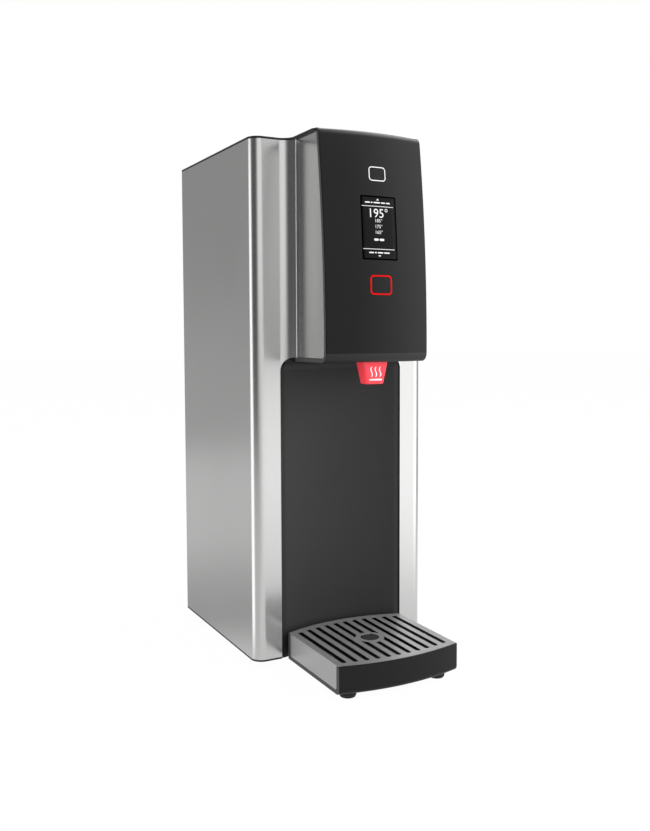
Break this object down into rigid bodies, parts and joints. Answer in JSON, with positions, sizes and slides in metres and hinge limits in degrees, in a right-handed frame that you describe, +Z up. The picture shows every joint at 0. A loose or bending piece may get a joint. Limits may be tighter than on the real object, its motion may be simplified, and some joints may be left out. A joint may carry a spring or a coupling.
{
  "type": "instant hot water dispenser",
  "caption": "Tall narrow countertop hot water dispenser: steel body, head with touch display and red spout over a cup bay, slotted drip tray in front, boiler inside.",
  "frame": {"origin": "on the counter, under the middle of the machine's overall box", "axes": "+X to the machine's right as seen from the front, +Y to its back, +Z up; the spout, display and drip tray face -Y"},
  "size_m": [0.2, 0.3496, 0.5306],
  "materials": {
    "brushed_steel": "brushed upright",
    "tank_steel": "satin",
    "tray_steel": "fine satin",
    "zinc_steel": "zinc plated, dull",
    "black_plastic": "fine matte grain",
    "dark_plastic": "matte",
    "rubber": "matte",
    "display_glass": "gloss",
    "screen": "matte",
    "white_light": "lit",
    "red_light": "lit",
    "red_plastic": "satin",
    "foam": "closed-cell foam",
    "silicone": "matte",
    "brass": "machined",
    "coil": "moulded",
    "circuit": "lacquered board",
    "hose": "translucent hose"
  },
  "bodies": {
    "machine": {"left_side_panel": "brushed_steel", "right_side_panel": "brushed_steel", "base_pan": "black_plastic", "front_left_foot": "rubber", "front_right_foot": "rubber", "rear_left_foot": "rubber", "rear_right_foot": "rubber", "rear_panel": "zinc_steel", "rear_screw_1": "zinc_steel", "rear_screw_2": "zinc_steel", "rear_screw_3": "zinc_steel", "rear_screw_4": "zinc_steel", "top_cover": "black_plastic", "splash_panel": "black_plastic", "head_floor": "black_plastic", "fascia": "black_plastic", "display_glass": "display_glass", "display_module": "screen", "upper_key_light": "white_light", "upper_key_tile": "black_plastic", "lower_key_light": "red_light", "lower_key_tile": "black_plastic", "touch_board": "circuit", "head_frame": "zinc_steel", "spout_shroud": "red_plastic", "spout_nozzle": "tank_steel", "spout_tube": "silicone", "dispense_valve_body": "brass", "dispense_valve_coil": "coil", "dispense_valve_spring": "zinc_steel", "tank_shelf": "zinc_steel", "tank_insulation": "foam", "tank_shell": "tank_steel", "tank_gasket": "silicone", "tank_lid": "tank_steel", "heating_element": "tank_steel", "temperature_probe": "tank_steel", "level_probe": "tank_steel", "limit_thermostat": "coil", "vent_tube": "hose", "inlet_fitting": "brass", "inlet_valve_body": "brass", "inlet_valve_coil": "coil", "inlet_valve_spring": "zinc_steel", "fill_tube": "hose", "drain_pipe": "tank_steel", "drain_cap": "brass", "cable_gland": "rubber", "switch_housing": "dark_plastic", "control_board": "circuit", "heater_relay": "zinc_steel", "power_supply": "zinc_steel"},
    "drip_tray": {"tray_basin": "black_plastic", "left_tray_foot": "rubber", "right_tray_foot": "rubber"},
    "drip_tray_cover": {"tray_cover": "tray_steel"},
    "rocker": {"power_rocker": "rubber"},
    "dispense_plunger": {"dispense_valve_plunger": "tank_steel"},
    "inlet_plunger": {"inlet_valve_plunger": "tank_steel"},
    "reset_button": {"thermostat_reset_button": "red_light"}
  },
  "joints": [
    {"name": "tray_slide", "type": "slide", "parent": "machine", "child": "drip_tray", "axis": [0, -1, 0], "range_m": [0, 0.13]},
    {"name": "tray_cover_lift", "type": "slide", "parent": "drip_tray", "child": "drip_tray_cover", "axis": [0, 0, 1], "range_m": [0, 0.06]},
    {"name": "power_rocker_tilt", "type": "hinge", "parent": "machine", "child": "rocker", "pos_m": [0, 0.15505, 0.0816], "axis": [1, 0, 0], "range_deg": [-9, 9]},
    {"name": "dispense_plunger_lift", "type": "slide", "parent": "machine", "child": "dispense_plunger", "axis": [0, 0, 1], "range_m": [0, 0.003], "stiffness_N_per_m": 400, "springref_m": -0.004, "deforming": ["dispense_valve_spring"]},
    {"name": "inlet_plunger_lift", "type": "slide", "parent": "machine", "child": "inlet_plunger", "axis": [0, 0, 1], "range_m": [0, 0.003], "stiffness_N_per_m": 400, "springref_m": -0.004, "deforming": ["inlet_valve_spring"]},
    {"name": "reset_button_press", "type": "slide", "parent": "machine", "child": "reset_button", "axis": [0, 0, -1], "range_m": [0, 0.0015], "stiffness_N_per_m": 500, "springref_m": -0.001}
  ]
}
